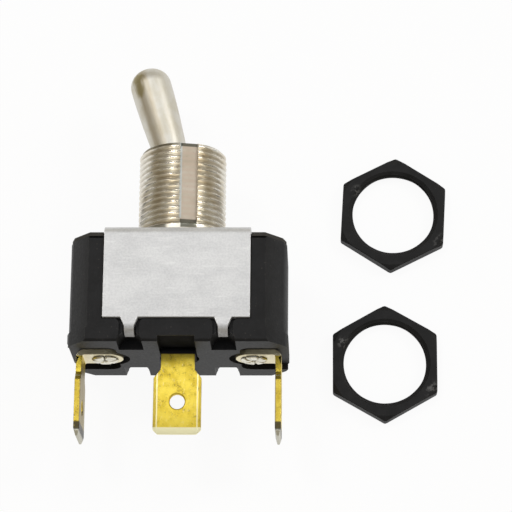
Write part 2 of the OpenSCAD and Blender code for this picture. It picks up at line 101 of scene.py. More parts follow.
# one output of a material's nodes; Python's operators add Math nodes to it
class Strand:
    def __init__(self, bench, socket):
        self.bench, self.socket = bench, socket

    def maths(self, operation, *others):
        values = dict(enumerate((self,) + others))
        return self.bench.add("ShaderNodeMath", {"operation": operation}, values)

    def __add__(self, other):
        return self.maths("ADD", other)

    def __sub__(self, other):
        return self.maths("SUBTRACT", other)

    def __mul__(self, other):
        return self.maths("MULTIPLY", other)

    def __truediv__(self, other):
        return self.maths("DIVIDE", other)

    def __radd__(self, other):
        return self + other

    def __rmul__(self, other):
        return self * other

    def __rsub__(self, other):
        return self * -1 + other

    def __abs__(self):
        return self.maths("ABSOLUTE")

    def clipped(self):
        return self.maths("MAXIMUM", 0.0).maths("MINIMUM", 1.0)

    # 0 at low, 1 at high, with a soft start and end; low may be the larger
    def steps(self, low, high):
        settings = {"interpolation_type": "SMOOTHSTEP", "clamp": True}
        return self.bench.add("ShaderNodeMapRange", settings, {0: self, 1: low, 2: high, 3: 0.0, 4: 1.0})

    # 1 between low and high, softened over soft at both ends
    def band(self, low, high, soft):
        return self.steps(low - soft, low) * self.steps(high + soft, high)


# the node tree of one material or of the world
class Bench:
    def __init__(self, tree):
        self.tree = tree
        tree.nodes.clear()

    def add(self, kind, settings=None, values=None, out=0):
        node = self.tree.nodes.new(kind)
        for key, value in (settings or {}).items():
            setattr(node, key, value)
        for key, value in (values or {}).items():
            self.plug(node.inputs[key], value)
        return Strand(self, node.outputs[out]) if node.outputs else None

    def plug(self, socket, value):
        if isinstance(value, Strand):
            self.tree.links.new(value.socket, socket)
        elif socket.type == "RGBA" and len(value) == 3:
            socket.default_value = (*value, 1)
        else:
            socket.default_value = value

    def blend(self, share, a, b):
        settings = {"data_type": "RGBA", "blend_type": "MIX", "clamp_factor": True}
        return self.add("ShaderNodeMix", settings, {0: share, 6: a, 7: b}, 2)

    def spot(self):
        return self.add("ShaderNodeTexCoord", out="Object")

    # the object's own coordinate 0, 1 or 2, in millimetres
    def axis(self, index):
        return self.add("ShaderNodeSeparateXYZ", {}, {0: self.spot()}, index) * (1 / mm)

    # cloudy noise whose patches measure about size, in metres
    def clouds(self, size, detail=3.0, rough=0.55, stretch=(1, 1, 1), shift=(0, 0, 0)):
        where = self.add("ShaderNodeMapping", {}, {"Vector": self.spot(), "Location": shift, "Scale": stretch})
        values = {"Vector": where, "Scale": 1 / size, "Detail": detail, "Roughness": rough}
        return self.add("ShaderNodeTexNoise", {}, values)

    # separate specks about size apart, 1 in the middle of each
    def specks(self, size, radius):
        values = {"Vector": self.spot(), "Scale": 1 / size}
        return 1 - (self.add("ShaderNodeTexVoronoi", {}, values) / radius).clipped()

    # 1 at a place, falling to 0 at radius, both in millimetres
    def near(self, place, radius):
        values = {0: self.spot(), 1: [c * mm for c in place]}
        away = self.add("ShaderNodeVectorMath", {"operation": "DISTANCE"}, values, "Value")
        return (1 - away / (radius * mm)).clipped()

    # 1 along outside edges, from the angle between the surface and its rounded self
    def edges(self, radius, low=0.02, high=0.2):
        soft = self.add("ShaderNodeBevel", {"samples": 6}, {"Radius": radius})
        face = self.add("ShaderNodeNewGeometry", out="Normal")
        along = self.add("ShaderNodeVectorMath", {"operation": "DOT_PRODUCT"}, {0: soft, 1: face}, "Value")
        return (1 - along).steps(low, high)

    def bump(self, height, depth, strength=1.0):
        return self.add("ShaderNodeBump", {}, {"Strength": strength, "Distance": depth, "Height": height})

    # a Principled shader with constants and varying inputs, put on the material's output
    def surface(self, values):
        shader = self.add("ShaderNodeBsdfPrincipled", {}, values)
        self.add("ShaderNodeOutputMaterial", {}, {0: shader})


def finish(name):
    material = bpy.data.materials.new(name)
    material.use_nodes = True
    return material, Bench(material.node_tree)


def scaled(colour, by):
    return [min(1.0, c * by) for c in colour]


phenolicSet = {
    "colour": (0.0045, 0.0045, 0.005), "worn": (0.055, 0.054, 0.053), "fleck": (0.11, 0.098, 0.078),
    "grain": 0.35 * mm, "mottle": 2.2 * mm, "edge": 0.15 * mm, "rough": 0.38,
    "channel": (-15.6, -14.2),   # mm, the sooty channel of the middle terminal
}


# moulded black with a fine grain, pale flecks of filler and edges rubbed grey, dull in the channel
def phenolic(s):
    material, b = finish("phenolic")
    mottle = b.clouds(s["mottle"], 4)
    grain = b.clouds(s["grain"], 3, 0.6)
    fleck = b.specks(0.6 * mm, 0.17) * mottle.steps(0.42, 0.6)
    rubbed = b.edges(s["edge"]) * (0.2 + 0.9 * mottle.steps(0.4, 0.7))
    channel = abs(b.axis(0)).steps(3.6, 3.4) * b.axis(1).band(*s["channel"], 0.02) * b.axis(2).steps(8.9, 8.8)
    colour = b.blend(mottle.steps(0.3, 0.7), s["colour"], scaled(s["colour"], 2.2))
    colour = b.blend(fleck * 0.5, colour, s["fleck"])
    colour = b.blend(rubbed * 0.8, colour, s["worn"])
    rough = s["rough"] + 0.2 * grain + 0.08 * mottle + 0.5 * channel
    b.surface({"Base Color": colour, "Roughness": rough, "Specular IOR Level": 0.22,
               "Normal": b.bump(grain + 0.6 * mottle, 0.035 * mm, 0.7)})
    return material


fibreSet = {"colour": (0.040, 0.037, 0.033), "strand": 0.25 * mm}


def fibre(s):
    material, b = finish("fibre")
    strands = b.clouds(s["strand"], 3, 0.6, (1, 1, 4))
    colour = b.blend(strands, scaled(s["colour"], 0.5), scaled(s["colour"], 1.6))
    b.surface({"Base Color": colour, "Roughness": 0.7 + 0.2 * strands, "Specular IOR Level": 0.3,
               "Normal": b.bump(strands, 0.03 * mm)})
    return material


zincSet = {
    "colour": (0.70, 0.705, 0.712), "dull": (0.50, 0.505, 0.52), "bright": (0.86, 0.865, 0.87),
    "dirtAndShade": (0.20, 0.19, 0.18), "line": 0.10 * mm, "speckle": 0.28 * mm, "patch": 2.6 * mm,
    "edge": 0.16 * mm, "rough": 0.40, "tabs": (-13.5, -14.8),  # mm along the bushing's axis
}


# plated sheet: fine rolling lines along X, speckle, dull patches, a painted highlight along the edges,
# and grime with painted shade towards the tabs' ends
def zinc(s):
    material, b = finish("zinc")
    lines = b.clouds(s["line"], 2, 0.5, (0.05, 1, 1))
    speckle = b.clouds(s["speckle"], 4, 0.65)
    patches = b.clouds(s["patch"], 3, 0.6, (0.6, 1, 1))
    streaks = b.clouds(0.5 * mm, 2, 0.5, (0.12, 1, 1), (5 * mm, 0, 0)).steps(0.55, 0.75)
    edge = b.edges(s["edge"])
    # grime and painted shade, darker towards the tabs' ends
    grimeAndShade = b.axis(1).steps(*s["tabs"]) * (0.35 + speckle)
    worn = lines * 0.3 + speckle.steps(0.35, 0.65) * 0.35 + patches.steps(0.35, 0.7) * 0.35
    colour = b.blend(worn - 0.2, s["colour"], s["dull"])
    colour = b.blend(streaks * 0.35, colour, s["bright"])
    # painted highlight along the edges
    colour = b.blend(edge * 0.7, colour, s["bright"])
    colour = b.blend(grimeAndShade * 0.75, colour, s["dirtAndShade"])
    height = lines * 0.5 + speckle * 0.7 + patches * 1.2 + streaks * 0.5
    b.surface({"Base Color": colour, "Metallic": 0.55, "Roughness": s["rough"] + 0.14 * speckle - 0.1 * edge,
               "Normal": b.bump(height, 0.014 * mm, 0.9)})
    return material


bushingFinish = {
    "colour": (0.80, 0.77, 0.69), "bloom": (0.66, 0.56, 0.39), "grimeAndShade": (0.24, 0.19, 0.12),
    "beige": (0.56, 0.46, 0.37), "paintedShade": (0.06, 0.065, 0.045), "pale": (0.66, 0.71, 0.72), "rough": 0.22,
    "crest": 5.953, "root": 5.55, "collar": 1.4, "pitch": 25.4 / 32, "top": 13.1,   # mm
    "keyTurn": math.radians(12), "keyHalf": 1.05, "keyFoot": (0.95, 2.2), "keyMouth": 12.6,
    "keyWallHighlight": (-1.25, -0.95),
}


# bright nickel on brass: brownish bloom, grime and painted shade down in the thread, and a dull keyway
# with faint rings, a painted highlight on its left wall and painted shade at its ends; painted shade also
# on the collar's left side and the top rim's left half
def bushingNickel(s):
    material, b = finish("bushingNickel")
    x, y, z = (b.axis(i) for i in range(3))
    radius = (x * x + z * z).maths("SQRT")
    across = x * math.cos(s["keyTurn"]) - z * math.sin(s["keyTurn"])
    front = (x * math.sin(s["keyTurn"]) + z * math.cos(s["keyTurn"])).steps(3.5, 4.5)
    slot = abs(across).steps(s["keyHalf"] + 0.12, s["keyHalf"]) * front
    inKey = slot * radius.steps(5.45, 5.3)
    cutAway = abs(across).steps(1.25, 1.15) * front * radius.steps(5.93, 5.85)
    keyWallHighlight = across.band(*s["keyWallHighlight"], 0.06) * front * y.steps(s["keyFoot"][1], s["keyFoot"][1] + 0.4)
    keyEndShade = y.band(*s["keyFoot"], 0.12) * slot + y.steps(s["keyMouth"], s["keyMouth"] + 0.1) * inKey
    bloom = b.clouds(2.4 * mm, 3)
    marks = b.clouds(0.12 * mm, 2, 0.5, (1, 3, 1))
    pits = b.specks(0.55 * mm, 0.13)
    rings = (y * (turn / s["pitch"])).maths("SINE") * 0.5 + 0.5
    thread = y.steps(s["collar"], s["collar"] + 0.3)
    hollow = radius.steps(s["crest"] - 0.06, s["root"]) * thread
    collarShade = y.band(0.25, s["collar"], 0.15) * x.steps(-1.5, -2.1) * x.steps(-5.4, -4.6)
    rim = y.steps(s["top"] - 0.5, s["top"] - 0.2) * x.steps(0.4, -0.6)
    colour = b.blend(bloom.steps(0.35, 0.7) * 0.5, s["colour"], s["bloom"])
    # grime and painted shade down in the thread roots
    colour = b.blend(hollow * (0.1 + 0.6 * bloom), colour, s["grimeAndShade"])
    colour = b.blend(inKey * (0.85 - 0.45 * rings), colour, s["beige"])
    # painted highlight on the keyway's left wall
    colour = b.blend(keyWallHighlight * 0.75, colour, s["pale"])
    colour = b.blend(pits * 0.6, colour, s["grimeAndShade"])
    # painted shade at the keyway's ends, the collar's left side and the left half of the top rim
    colour = b.blend(keyEndShade * 0.85 + collarShade * 0.7 + rim * 0.5, colour, s["paintedShade"])
    rough = s["rough"] + 0.1 * bloom + 0.1 * hollow + 0.2 * inKey + 0.2 * y.steps(s["collar"], 1.2)
    height = marks + 0.4 * pits + 3 * inKey * rings
    b.surface({"Base Color": colour, "Metallic": 1.0 - 0.5 * cutAway, "Roughness": rough,
               "Normal": b.bump(height, 0.004 * mm, 0.7)})
    return material


leverFinish = {
    "colour": (0.71, 0.69, 0.63), "bloom": (0.62, 0.58, 0.47), "brass": (0.32, 0.27, 0.13),
    "olive": (0.46, 0.40, 0.29), "rough": 0.41,
    "bare": [((-6.3, 23.6, 2.0), 2.2), ((-5.9, 21.6, 2.2), 1.4), ((-4.6, 18.8, 1.5), 1.0)],   # mm
    "lean": math.radians(16.5), "pivot": 7.5, "leftShade": (-1.7, -0.5),
}


# nickel drawn along the bat, with olive painted shade down the left of its upper half, and worn through
# near the tip
def leverNickel(s):
    material, b = finish("leverNickel")
    bloom = b.clouds(2.0 * mm, 3)
    values = {"Vector": b.spot(), "Rotation": (0, 0, s["lean"]), "Scale": (1, 8, 1)}
    along = b.add("ShaderNodeMapping", {"vector_type": "TEXTURE"}, values)
    drawn = b.add("ShaderNodeTexNoise", {}, {"Vector": along, "Scale": 1 / (0.3 * mm), "Detail": 3.0})
    across = b.axis(0) * math.cos(s["lean"]) + (b.axis(1) - s["pivot"]) * math.sin(s["lean"])
    leftShade = across.band(*s["leftShade"], 0.5) * b.axis(2).steps(0, 1) * (0.5 + drawn)
    pits = b.specks(0.9 * mm, 0.10)
    bare = sum(b.near(*spot) for spot in s["bare"])
    bare = (bare * (0.4 + 1.2 * drawn)).steps(0.3, 0.8)
    clouded = bloom.steps(0.4, 0.7) * 0.6 + drawn.steps(0.5, 0.8) * 0.3
    colour = b.blend(clouded, s["colour"], s["bloom"])
    # olive painted shade down the left of the bat's upper half
    colour = b.blend(leftShade * 0.6, colour, s["olive"])
    colour = b.blend(bare * 0.85, colour, s["brass"])
    colour = b.blend(pits * 0.5, colour, scaled(s["bloom"], 0.4))
    b.surface({"Base Color": colour, "Metallic": 1.0, "Roughness": s["rough"] + 0.1 * bloom + 0.08 * drawn,
               "Normal": b.bump(drawn + 0.3 * pits, 0.006 * mm, 0.7)})
    return material


brassSet = {
    "colour": (0.89, 0.70, 0.10), "deep": (0.66, 0.48, 0.04), "pale": (1.0, 0.95, 0.62),
    "stain": (0.30, 0.21, 0.05), "tin": (0.84, 0.79, 0.62), "bendShade": (0.006, 0.006, 0.009),
    "dull": (0.27, 0.22, 0.13), "burnt": (0.02, 0.02, 0.02), "grey": (0.42, 0.41, 0.38),
    "edgeLine": (2.62, 2.74), "side": 2.86, "tip": -26.05, "leg": -15.9, "rough": 0.30,   # mm
    "bendShadeFrom": -16.25, "shadedInnerFace": (13.05, 12.95), "burn": (-26.1, -25.3),
}


# rolled brass tab: coined side edges with a painted highlight line and painted shade outside it, painted
# highlights along its edges, a painted reflection on the bevel at the tip, a tinned leg and stains; the
# centre one is painted black with shade round the bend in its channel, the outer ones have painted shade
# on their inner faces and are burnt near the tip
def tabBrass(name, s, outer):
    material, b = finish(name)
    side, y = abs(b.axis(2 if outer else 0)), b.axis(1)
    drawn = b.clouds(0.16 * mm, 2, 0.5, (1, 0.12, 1))
    mottle = b.clouds(1.3 * mm, 4, 0.6)
    fine = b.clouds(0.32 * mm, 4, 0.7)
    stain = fine.steps(0.52, 0.66) * (0.25 + mottle.steps(0.4, 0.6))
    scratch = b.clouds(0.25 * mm, 3, 0.7, (1, 0.35, 1), (9 * mm, 0, 0)).steps(0.6, 0.7)
    edge = b.edges(0.1 * mm)
    blade = y.steps(-17.6, -18.2)
    line = side.band(*s["edgeLine"], 0.06) * blade
    borderShade = side.steps(s["side"] - 0.08, s["side"]) * blade
    tip = y.steps(s["tip"], s["tip"] - 0.1)
    colour = b.blend(mottle.steps(0.35, 0.7) * 0.7 + drawn * 0.2, s["colour"], s["deep"])
    colour = b.blend(stain * 0.6, colour, s["stain"])
    colour = b.blend(scratch * 0.3, colour, s["pale"])
    # painted shade on the edge strip outside the coined line
    colour = b.blend(borderShade * 0.35, colour, s["stain"])
    # painted highlight along the coined line and the edges, and a painted reflection on the tip's bevel
    colour = b.blend(line * 0.7 + edge * 0.5 + tip * 0.95, colour, s["pale"])
    colour = b.blend(y.steps(s["leg"] - 0.1, s["leg"]) * 0.85, colour, s["tin"])
    rough = s["rough"] + 0.14 * mottle + 0.06 * drawn
    if outer:
        # painted shade on the outer tabs' inner faces
        inner = abs(b.axis(0)).steps(*s["shadedInnerFace"]) * y.steps(-16.4, -18.0)
        burn = y.band(*s["burn"], 0.3) * fine.steps(0.25, 0.4)
        colour = b.blend(inner * 0.85, colour, s["dull"])
        colour = b.blend(tip * 0.8, colour, s["grey"])
        colour = b.blend(burn * 0.9, colour, s["burnt"])
        metal = 0.9 - 0.5 * burn
    else:
        # painted shade: the centre tab is black round its bend in the channel
        bendShade = y.steps(s["bendShadeFrom"], s["bendShadeFrom"] + 0.2)
        colour = b.blend(bendShade, colour, s["bendShade"])
        metal, rough = 0.9 - 0.9 * bendShade, rough + 0.4 * bendShade
    height = drawn * 0.5 + mottle * 0.9 + stain * 0.6 + line * 0.8 - borderShade * 2
    b.surface({"Base Color": colour, "Metallic": metal, "Roughness": rough, "Specular IOR Level": 0.3,
               "Normal": b.bump(height, 0.014 * mm, 0.9)})
    return material


rivetSet = {"colour": (0.84, 0.81, 0.70), "dull": (0.55, 0.52, 0.42), "split": (0.05, 0.045, 0.03),
            "darkBand": (-15.98, -15.6), "rough": 0.2}   # mm


# tinned brass, darker in a band round the rolled head
def rivetTin(s):
    material, b = finish("tinnedRivet")
    patch = b.clouds(0.7 * mm, 3)
    fine = b.clouds(0.15 * mm, 3)
    colour = b.blend(patch.steps(0.4, 0.65) * 0.7, s["colour"], s["dull"])
    colour = b.blend(b.axis(1).band(*s["darkBand"], 0.05) * 0.85, colour, s["split"])
    b.surface({"Base Color": colour, "Metallic": 0.9, "Roughness": s["rough"] + 0.15 * fine,
               "Normal": b.bump(fine + patch, 0.01 * mm, 0.8)})
    return material


# a plain metal of one colour, with fine marks
def plainMetal(name, colour, rough, marks=(1, 1, 1)):
    material, b = finish(name)
    fine = b.clouds(0.15 * mm, 3, 0.55, marks)
    patch = b.clouds(1.1 * mm, 3)
    shade = b.blend(patch.steps(0.35, 0.7) * 0.7 + fine * 0.3, scaled(colour, 1.1), scaled(colour, 0.7))
    b.surface({"Base Color": shade, "Metallic": 1.0, "Roughness": rough + 0.15 * fine,
               "Normal": b.bump(fine + patch, 0.008 * mm, 0.7)})
    return material


def nylon():
    material, b = finish("nylon")
    cloud = b.clouds(0.9 * mm, 3)
    b.surface({"Base Color": b.blend(cloud, (0.80, 0.78, 0.71), (0.86, 0.84, 0.78)),
               "Roughness": 0.4 + 0.15 * cloud, "Normal": b.bump(cloud, 0.01 * mm)})
    return material


blackSet = {
    "colour": (0.006, 0.006, 0.0065), "rubbed": (0.040, 0.040, 0.040), "bare": (0.13, 0.128, 0.125),
    "grain": 0.28 * mm, "cloud": 1.6 * mm, "edge": 0.2 * mm, "rough": 0.46,
    # places in mm where the black has worn off, and how far each reaches
    "worn": [((35.7, 3.1, -8.2), 1.9), ((24.0, 10.6, -7.6), 1.3), ((34.2, -18.0, -8.2), 1.9),
             ((22.0, -11.4, -7.6), 1.3)],
}


# black oxide on steel: satin and grainy, grey at the edges, partly rubbed and partly painted highlight,
# and worn bright in a few places
def blackOxide(s):
    material, b = finish("blackOxide")
    grain = b.clouds(s["grain"], 4, 0.65)
    cloud = b.clouds(s["cloud"], 3)
    edge = b.edges(s["edge"])
    chips = b.clouds(0.7 * mm, 4, 0.7).steps(0.48, 0.6)
    worn = sum(b.near(*spot) for spot in s["worn"]).steps(0.1, 0.8) * chips
    clouded = cloud.steps(0.35, 0.7) * 0.8 + grain.steps(0.5, 0.7) * 0.4
    colour = b.blend(clouded, s["colour"], scaled(s["colour"], 2))
    # lighter edges: partly rubbing, partly painted highlight
    colour = b.blend(edge * 0.45, colour, s["rubbed"])
    colour = b.blend(worn * 0.9, colour, s["bare"])
    b.surface({"Base Color": colour, "Metallic": worn * 0.8, "Roughness": s["rough"] + 0.2 * grain - 0.1 * worn,
               "Specular IOR Level": 0.22, "Normal": b.bump(grain + 0.5 * cloud, 0.02 * mm, 0.8)})
    return material


phenolicLook = phenolic(phenolicSet)
fibreLook = fibre(fibreSet)
zincLook = zinc(zincSet)
bushingLook = bushingNickel(bushingFinish)
leverLook = leverNickel(leverFinish)
outerBrass = tabBrass("outerTabBrass", brassSet, True)
centreBrass = tabBrass("centreTabBrass", brassSet, False)
blackLook = blackOxide(blackSet)
rivetLook = rivetTin(rivetSet)
print("stage: materials made")


# a mesh object in the frame's place, from points in metres and a list of arrays of faces
def meshPiece(name, points, faces, material, body, smoothAngle):
    mesh = bpy.data.meshes.new(name)
    mesh.from_pydata(points.reshape(-1, 3).tolist(), [], [f for array in faces for f in array.tolist()])
    mesh.validate()
    mesh.shade_smooth()
    mesh.set_sharp_from_angle(angle=math.radians(smoothAngle))
    mesh.materials.append(material)
    piece = bpy.data.objects.new(name, mesh)
    bpy.context.scene.collection.objects.link(piece)
    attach(piece, body)
    return piece


def standFor(piece, node):
    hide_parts(node)


# quads of a grid of rows by columns whose columns close on themselves, and its rows too if looped
def gridQuads(rows, columns, looped):
    i = np.arange(rows if looped else rows - 1)[:, None]
    j = np.arange(columns)[None, :]
    up, on = (i + 1) % rows, (j + 1) % columns
    quads = np.stack([i * columns + j, i * columns + on, up * columns + on, up * columns + j], axis=-1)
    return quads.reshape(-1, 4)


# points (rows, columns, 3) of a turned form: radius and height at each angle, with its axis up Z
def turnedPoints(radius, angle, height):
    radius, height = np.broadcast_arrays(radius, height)
    return np.stack([radius * np.cos(angle), radius * np.sin(angle), height], axis=-1)


# a turned grid closed at both ends by a pole in the middle of its first and its last ring
def poledPiece(name, points, material, body, smoothAngle):
    rows, columns = points.shape[:2]
    count = rows * columns
    ring, on = np.arange(columns), (np.arange(columns) + 1) % columns
    far = (rows - 1) * columns
    first = np.stack([np.full(columns, count), on, ring], axis=-1)
    last = np.stack([np.full(columns, count + 1), far + ring, far + on], axis=-1)
    poles = np.stack([points[0].mean(axis=0), points[-1].mean(axis=0)])
    points = np.vstack([points.reshape(-1, 3), poles])
    faces = [gridQuads(rows, columns, False), first, last]
    return meshPiece(name, points, faces, material, body, smoothAngle)


# the upright axis Z of a turned form laid down along +Y
def laidDown(points):
    return np.stack([points[..., 0], points[..., 2], -points[..., 1]], axis=-1)


# depth of a rounded V below its crest, as a share of the whole, at a phase that repeats every 1
def threadDip(phase):
    saw = np.abs((phase % 1.0) - 0.5) * 2
    return 1 - np.clip((saw - 0.12) / 0.76, 0, 1)


# angles round a circle, with extra ones just beside each edge of a slot of half width half at middle
def slottedAngles(columns, middle, half):
    around = np.linspace(0, turn, columns, endpoint=False)
    fromEdge = np.abs(np.abs((around - middle + math.pi) % turn - math.pi) - half)
    around = around[fromEdge > 0.3 * turn / columns]
    extra = [(middle + side * (half + step)) % turn for side in (-1, 1) for step in (-0.0004, 0.0004)]
    return np.sort(np.concatenate([around, extra]))


threadSet = {
    "crest": 5.953 * mm, "pitch": 25.4 / 32 * mm, "depth": 0.44 * mm, "collar": 1.4 * mm,
    "runout": 0.4 * mm, "mouthBevel": 0.5 * mm, "neck": 6.153 * mm, "sheet": 0.9 * mm, "edge": 0.13 * mm,
    "keyWidth": 2.3 * mm, "keyDeep": 0.8 * mm, "keyLow": 1.6 * mm, "keyTurn": math.radians(12),
    "columns": 240, "rowsPerPitch": 12,
}
boreSet = {"pivot": 7.5 * mm, "halfThrow": math.radians(16.5), "ball": 4.30 * mm, "stem": 2.2 * mm,
           "neck": 2.35 * mm, "side": 2.3 * mm, "gap": 0.25 * mm, "edge": 0.13 * mm}


# the bore's (radius, height) from the mouth down: a cone for the bat's swing, the ball's seat, and a
# cone for the stem's swing
def boreProfile(s, top, foot):
    slope, lean = math.tan(s["halfThrow"]), math.cos(s["halfThrow"])
    mouth = (top - s["pivot"]) * slope + s["neck"] / lean + s["gap"]
    low = (s["pivot"] - foot) * slope + s["stem"] / lean + s["gap"]
    flare = (s["ball"] - s["gap"] - s["stem"] / lean) / slope
    upper = math.sqrt(s["ball"] ** 2 - s["side"] ** 2)
    seat = np.linspace(math.asin(s["side"] / s["ball"]), 0, 9)
    seat = np.stack([s["ball"] * np.cos(seat), s["pivot"] + s["ball"] * np.sin(seat)], axis=-1)
    return np.vstack([[mouth + s["edge"], top], [mouth, top - s["edge"]], [upper, s["pivot"] + s["side"]],
                      seat[1:], [s["ball"], s["pivot"] - flare], [low, foot]])


# outside: radius = crest less the thread's dip at phase height/pitch - angle/turn, cut back to the
# keyway's flat floor; inside: the bore's profile, turned
def makeBushing(s):
    low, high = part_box("bushing")
    flange, top, foot, e = high[0], high[1], low[1], s["edge"]
    key = s["keyTurn"] - turn / 4
    half = math.asin(s["keyWidth"] / 2 / (s["crest"] - s["keyDeep"] / 2))
    around = slottedAngles(s["columns"], key, half)
    away = (around - key + math.pi) % turn - math.pi
    threadTop = top - s["mouthBevel"]
    count = int(round((threadTop - s["collar"]) / s["pitch"] * s["rowsPerPitch"]))
    foots = np.array([[flange - e, foot], [flange, foot + e], [flange, -s["sheet"] - e],
                      [flange - e, -s["sheet"]], [s["neck"], -s["sheet"]], [s["neck"], -e],
                      [s["neck"] - e, 0.0]])
    rises = np.concatenate([[0.0, 0.5 * mm, 1.0 * mm], np.linspace(s["collar"], threadTop, count),
                            np.linspace(threadTop, top, 8)[1:], [s["keyLow"] - 1e-6, s["keyLow"] + 1e-6]])
    rises = np.sort(rises)[:, None]
    fade = np.clip((rises - s["collar"]) / s["runout"], 0, 1)
    phase = (rises - s["collar"]) / s["pitch"] - around / turn - 0.25
    radius = s["crest"] - threadDip(phase) * s["depth"] * fade
    radius = np.minimum(radius, s["crest"] - np.clip(rises - threadTop, 0, None))
    keyFloor = (s["crest"] - s["keyDeep"]) / np.cos(np.where(np.abs(away) < half, away, 0))
    cut = (rises > s["keyLow"]) & (np.abs(away) < half)
    radius = np.where(cut, np.minimum(radius, keyFloor), radius)
    bore = boreProfile(boreSet, top, foot)
    flat = np.ones_like(around)
    radius = np.vstack([foots[:, :1] * flat, radius, bore[:, :1] * flat])
    height = np.vstack([foots[:, 1:], rises, bore[:, 1:]]) * flat
    points = laidDown(turnedPoints(radius, around, height))
    piece = meshPiece("threadedBushing", points, [gridQuads(*radius.shape, True)], bushingLook, "switch", 40)
    standFor(piece, "bushing")


makeBushing(threadSet)
print("stage: bushing made")


leverForm = {
    "pivot": 7.5 * mm, "lean": math.radians(-16.5), "ball": 4.22 * mm, "tip": 19.02 * mm,
    "neck": 2.15 * mm, "bat": 2.825 * mm, "dome": 2.65 * mm, "stem": 2.2 * mm, "stemLow": -13.0 * mm,
    "bore": 1.5 * mm, "boreTop": -4.6 * mm, "edge": 0.15 * mm, "pole": 0.1 * mm, "columns": 96,
}


# radius along the lever: hollow stem, ball, then a bat that widens as a sine and ends in a dome of
# radius bat * sqrt(1 - share ** 2.1)
def makeLever(s):
    ballTop = math.sqrt(s["ball"] ** 2 - s["neck"] ** 2)
    ballLow = -math.sqrt(s["ball"] ** 2 - s["stem"] ** 2)
    domeFrom = s["tip"] - s["dome"]
    share = np.linspace(0, 1, 40)
    bat = np.stack([s["neck"] + (s["bat"] - s["neck"]) * np.sin(share * turn / 4) ** 1.15,
                    ballTop + share * (domeFrom - ballTop)], axis=-1)
    share = np.sin(np.linspace(0, turn / 4, 24))[1:-1]
    dome = np.stack([s["bat"] * np.sqrt(1 - share ** 2.1), domeFrom + share * s["dome"]], axis=-1)
    rise = np.linspace(math.asin(ballLow / s["ball"]), math.asin(ballTop / s["ball"]), 28)
    ball = s["ball"] * np.stack([np.cos(rise), np.sin(rise)], axis=-1)
    stem = np.array([[s["pole"], s["boreTop"] + s["edge"]], [s["bore"], s["boreTop"]],
                     [s["bore"], s["stemLow"] + s["edge"]], [s["bore"] + s["edge"], s["stemLow"]],
                     [s["stem"] - s["edge"], s["stemLow"]], [s["stem"], s["stemLow"] + s["edge"]]])
    profile = np.vstack([stem, ball, bat[1:], dome, [[s["pole"], s["tip"]]]])
    angle = np.linspace(0, turn, s["columns"], endpoint=False)
    points = laidDown(turnedPoints(profile[:, :1] * np.ones_like(angle), angle, profile[:, 1:]))
    x = points[..., 0] * math.cos(s["lean"]) + points[..., 1] * math.sin(s["lean"])
    y = points[..., 1] * math.cos(s["lean"]) - points[..., 0] * math.sin(s["lean"]) + s["pivot"]
    points = np.stack([x, y, points[..., 2]], axis=-1)
    standFor(poledPiece("batLever", points, leverLook, "lever", 40), "lever")


makeLever(leverForm)
print("stage: lever made")


nutSet = {
    "flats": 14.29 * mm, "thick": 1.9 * mm, "bevel": 0.45 * mm, "slope": 1.7, "edge": 0.10 * mm,
    "crest": 5.65 * mm, "root": 6.05 * mm, "sink": 0.2 * mm, "sinkSlope": 1.4, "blunt": 0.06 * mm,
    "pitch": 25.4 / 32 * mm, "columns": 240, "rows": 30,
}


# outside: half the flats / cos(angle to the nearest flat's middle), held back by a cone at the top;
# inside: a helical thread, cut by a countersink at both ends
def makeNut(name, node, degrees, s):
    low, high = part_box(node)
    t, e = s["thick"], s["edge"]
    angle = np.linspace(0, turn, s["columns"], endpoint=False)
    toFlat = (angle + turn / 12) % (turn / 6) - turn / 12
    hexagon = s["flats"] / 2 / np.cos(toFlat)
    corner = hexagon.max()
    outRise = np.concatenate([[0, 0.3 * e, e], np.linspace(t - s["bevel"] - e, t, 12)])[:, None]
    inset = np.clip(e - np.minimum(outRise, t - outRise), 0, None)
    cone = corner - s["slope"] * np.clip(outRise - (t - s["bevel"]), 0, None)
    outer = np.minimum(np.minimum(hexagon, corner - s["blunt"]) - inset, cone)
    inRise = np.linspace(t, 0, s["rows"])[:, None]
    dip = threadDip(inRise / s["pitch"] - angle / turn)
    sink = s["root"] + s["sink"] - np.minimum(inRise, t - inRise) * s["sinkSlope"]
    inner = np.maximum(s["crest"] + (s["root"] - s["crest"]) * dip, sink)
    radius = np.vstack([outer, inner])
    points = turnedPoints(radius, angle + math.radians(degrees), np.vstack([outRise, inRise]))
    points = points + np.array([(low[0] + high[0]) / 2, (low[1] + high[1]) / 2, low[2]])
    piece = meshPiece(name, points, [gridQuads(*radius.shape, True)], blackLook, "switch", 30)
    standFor(piece, node)


makeNut("hexNutUpper", "panel_nut_upper", -3, nutSet)
makeNut("hexNutLower", "panel_nut_lower", 0, nutSet)
print("stage: nuts made")


rivetForm = {
    "shank": 1.2 * mm, "head": 1.8 * mm, "headThick": 0.4 * mm, "hollow": 0.32 * mm, "inHead": 1.6 * mm,
    "inThick": 0.5 * mm, "petals": 5, "split": 0.10, "notch": 0.3 * mm, "edge": 0.06 * mm,
    "pole": 0.1 * mm, "dimple": 0.12 * mm, "columns": 180,
}


